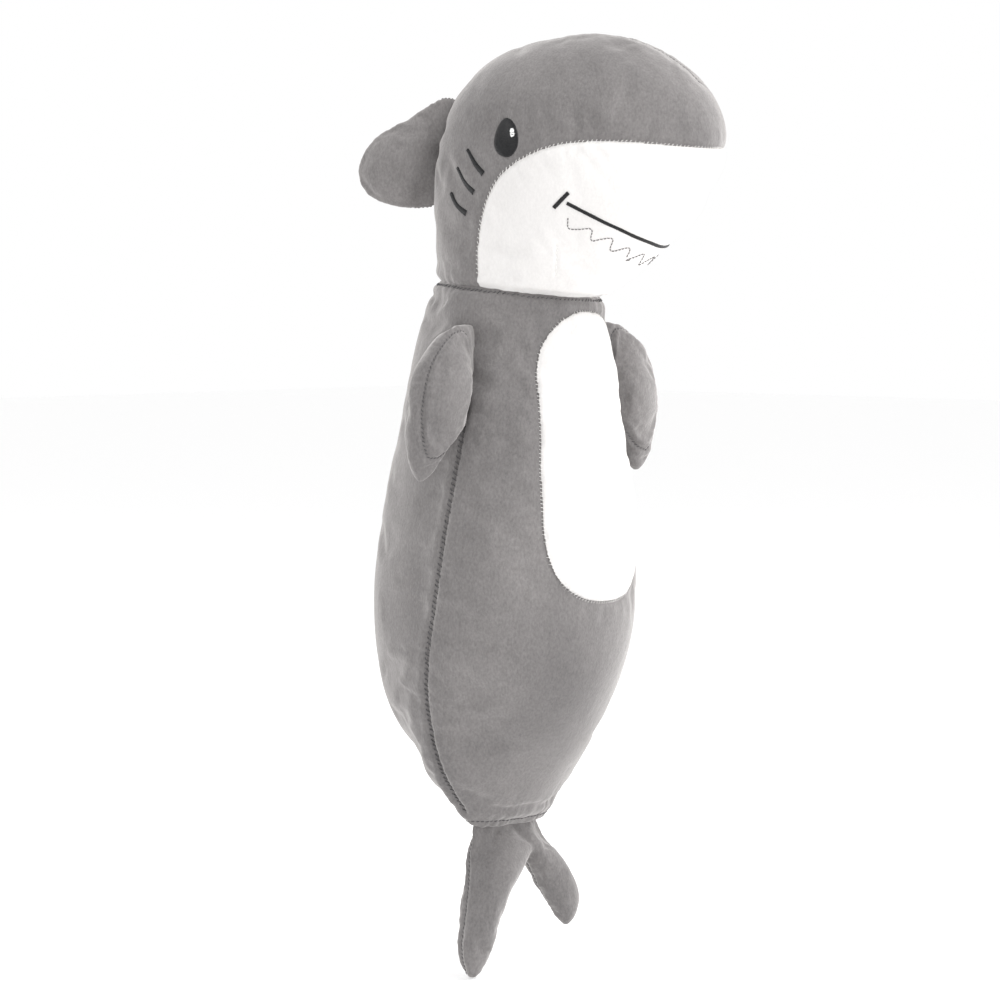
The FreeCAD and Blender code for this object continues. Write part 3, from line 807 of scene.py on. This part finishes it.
# ---------------------------------------------------------------- head
def make_head():
    nodes = ["head_right_panel", "head_left_panel", "muzzle_panel", "head_filling"]
    muzzle_line, crown_lines = bands("muzzle_seam_thread")[0], bands("crown_seam_thread")
    neck = bands("neck_seam_thread")[0]
    head = skin_of("head_cover", nodes, 4 * MM)
    neck_point, neck_axis = hinge("head_turn")
    meet_plane(head, neck_point, -neck_axis, NECK_STRETCH, NECK_PAST)
    blow_up(head, near_lines(head, [muzzle_line, *crown_lines, neck], 4 * MM), 2.5 * MM, 0.03)
    subdivide(head, 2)
    unevenness(head, 0.4 * MM, 55 * MM, 7)
    field = signed_side(points_of(head), normals_of(head), muzzle_line)
    mouth_low, mouth_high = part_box("mouth_line")
    middle = np.array((mouth_low + mouth_high) / 2)
    nearest = np.argmin(np.linalg.norm(points_of(head) - middle, axis=1))
    field *= np.sign(field[nearest])
    muzzle = cut_out(head, field, "muzzle_cover", False)
    for piece in (head, muzzle):
        pull_in(piece, muzzle_line, depth=1.3, width=1.7, pucker=0.25, reach=6, roll=0.25, seed=2.0)
        pull_in(piece, neck, depth=1.4, width=2.0, pucker=0.3, reach=7, roll=0.3, seed=4.0)
    for line in crown_lines:
        pull_in(head, line, depth=0.5, width=1.4, pucker=0.08, reach=5, seed=3.0)
    darts = bands("chin_dart_threads")
    for line in darts:
        pull_in(muzzle, line, depth=0.9, width=1.5, pucker=0.1, reach=5, seed=3.0)
    dress(head, "grey_plush", "head_right_panel", "head_left_panel", "head_filling")
    dress(muzzle, "white_plush", "muzzle_panel")
    for piece in (head, muzzle):
        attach(piece, "head")
    skin = tree_of_pieces(head, muzzle)
    rows = [
        ("muzzle_seam", [muzzle_line], "white_thread", "muzzle_seam_thread"),
        ("crown_seam", crown_lines, "grey_thread", "crown_seam_thread"),
        ("chin_dart", darts, "white_thread", "chin_dart_threads"),
    ]
    for name, lines, slot, node in rows:
        row = stitches(f"{name}_stitches", skin, lines, pitch=2.7, length=2.3, radius=0.22)
        dress(row, slot, node)
        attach(row, "head")
    make_face(skin)
    return head, muzzle


def make_face(skin):
    for side in ("right", "left"):
        line, halves = oval_of(surface_samples(f"{side}_eye", FINE_SAMPLE))
        eye = satin(f"{side}_eye_embroidery", skin, line, halves, 0.5, 0.34, 0.9)
        dress(eye, "black_embroidery", f"{side}_eye")
        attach(eye, "head")
        line, halves = oval_of(surface_samples(f"{side}_eye_glint", FINE_SAMPLE))
        raised = tree_of_pieces(eye)
        glint = satin(f"{side}_eye_glint_embroidery", raised, line, halves, 0.45, 0.3, 0.6)
        dress(glint, "white_embroidery", f"{side}_eye_glint")
        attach(glint, "head")
        make_gills(skin, side)
    make_mouth(skin)
    teeth = bands("teeth_outline", 1.2 * MM)
    row = stitches("teeth_stitches", skin, teeth, 2.2, 1.9, 0.36, slant=0.0)
    dress(row, "grey_embroidery", "teeth_outline")
    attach(row, "head")


def in_groups(cloud, gap):
    """Splits a cloud of points into those that lie together, from the highest down."""
    groups, left = [], cloud[cloud[:, 2].argsort()[::-1]]
    while len(left):
        taken = np.zeros(len(left), bool)
        taken[0] = True
        grown = 0
        while grown != taken.sum():
            grown = taken.sum()
            tree = KDTree(int(grown))
            for i, point in enumerate(left[taken]):
                tree.insert(point, i)
            tree.balance()
            taken |= np.array([tree.find(p)[2] < gap for p in left])
        groups.append(left[taken])
        left = left[~taken]
    return groups


def make_gills(skin, side):
    """Three separate strokes that stand for one CAD node."""
    node = f"{side}_gill_strokes"
    for number, stroke in enumerate(in_groups(surface_samples(node, FINE_SAMPLE), 1.2 * MM)):
        line, halves = spine(stroke)
        row = satin(f"{side}_gill_embroidery_{number + 1}", skin, line, halves, 0.45, 0.3, 0.7)
        dress(row, "black_embroidery", node)
        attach(row, "head")


def make_mouth(skin):
    line = bands("mouth_line")[0]
    half = MOUTH_WIDTH / 2
    row = satin("mouth_embroidery", skin, line, lambda share: half, 0.42, 0.3, 0.7)
    dress(row, "black_embroidery", "mouth_line")
    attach(row, "head")
    for side in ("right", "left"):
        node = f"{side}_mouth_corner"
        line, halves = spine(surface_samples(node, FINE_SAMPLE))
        row = satin(f"{node}_embroidery", skin, line, halves, 0.42, 0.3, 0.8)
        dress(row, "black_embroidery", node)
        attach(row, "head")


# ---------------------------------------------------------------- fins and tail
def make_limb(name, joint, sides, neighbour, outward, seed):
    """A stuffed limb that is sewn to its parent along one line."""
    nodes = [f"{name}_{side}_panel" for side in sides] + [f"{name}_filling"]
    seams = bands(f"{name}_seam_thread")
    cover = skin_of(f"{name}_cover", nodes, 2.2 * MM, 4)
    root, _ = hinge(joint)
    held = near_lines(cover, seams, 2.5 * MM)
    held |= (points_of(cover) - np.array(root)) @ np.array(outward) < ROOT_HELD
    blow_up(cover, held, 2.0 * MM, 0.04)
    reach_for(cover, neighbour, ROOT_WITHIN, ROOT_FURTHER)
    subdivide(cover, 1)
    unevenness(cover, 0.35 * MM, 30 * MM, seed)
    for seam in seams:
        pull_in(cover, seam, depth=0.8, width=1.5, pucker=0.35, reach=7, roll=0.2, seed=seed)
    dress(cover, "grey_plush", *nodes)
    skin = tree_of_pieces(cover)
    row = stitches(f"{name}_seam_stitches", skin, seams, pitch=2.8, length=2.3, radius=0.24)
    dress(row, "grey_thread", f"{name}_seam_thread")
    for piece in (cover, row):
        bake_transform(piece)


def make_limbs(torso, head, muzzle):
    torso_tree, head_tree = tree_of_pieces(torso), tree_of_pieces(head, muzzle)
    for side, way in (("right", -1), ("left", 1)):
        outward = Vector((way, 0, 0))
        name, panels = f"{side}_fin", ("back", "front")
        make_limb(name, f"{name}_swing", panels, torso_tree, outward, 11)
    low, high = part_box("dorsal_fin_filling")
    outward = (low + high) / 2 - hinge("dorsal_fin_flap")[0]
    outward.z = 0
    outward = outward.normalized()
    make_limb("dorsal_fin", "dorsal_fin_flap", ("left", "right"), head_tree, outward, 12)
    down = Vector((0, 0, -1))
    make_limb("tail", "tail_swing", ("back", "front"), torso_tree, down, 13)


# ---------------------------------------------------------------- camera, light and floor
def way_to(azimuth, elevation):
    """Unit vector from the toy, azimuth 0 is in front of its belly.  Angles in degrees."""
    a, e = math.radians(azimuth), math.radians(elevation)
    return Vector((math.sin(a) * math.cos(e), -math.cos(a) * math.cos(e), math.sin(e)))


def make_camera():
    back = way_to(CAMERA_AZIMUTH, CAMERA_ELEVATION)
    data = bpy.data.cameras.new("camera")
    data.lens = CAMERA_LENS
    camera = bpy.data.objects.new("camera", data)
    bpy.context.scene.collection.objects.link(camera)
    camera.location = CENTRE + CAMERA_TARGET_SHIFT + back * CAMERA_DISTANCE
    camera.rotation_euler = (-back).to_track_quat("-Z", "Y").to_euler()
    bpy.context.scene.camera = camera


def area_light(name, azimuth, elevation, distance, size, power):
    """A soft box that faces the toy.  Azimuth is counted as for the camera."""
    back = way_to(azimuth, elevation)
    data = bpy.data.lights.new(name, "AREA")
    data.shape = "DISK"
    data.size = size
    data.energy = power
    light = bpy.data.objects.new(name, data)
    bpy.context.scene.collection.objects.link(light)
    light.location = CENTRE + back * distance
    light.rotation_euler = (-back).to_track_quat("-Z", "Y").to_euler()


def make_studio():
    for row in LIGHTS:
        area_light(*row)
    world = bpy.data.worlds.new("studio")
    bpy.context.scene.world = world
    world.use_nodes = True
    world.node_tree.nodes["Background"].inputs["Color"].default_value = (1, 1, 1, 1)
    world.node_tree.nodes["Background"].inputs["Strength"].default_value = 1.0
    bpy.context.scene.view_settings.view_transform = "Standard"
    made, _, shader = material("pale_floor")
    shader.inputs["Base Color"].default_value = (0.98, 0.98, 0.98, 1)
    shader.inputs["Roughness"].default_value = 0.9
    signs = ((-1, -1), (1, -1), (1, 1), (-1, 1))
    corners = [(x * FLOOR_HALF, y * FLOOR_HALF, cad_low.z) for x, y in signs]
    floor = new_piece("floor", corners, [(0, 1, 2, 3)])
    floor.data.materials.append(made)


torso_cover = make_torso()
head_cover, muzzle_cover = make_head()
make_limbs(torso_cover, head_cover, muzzle_cover)
make_camera()
make_studio()
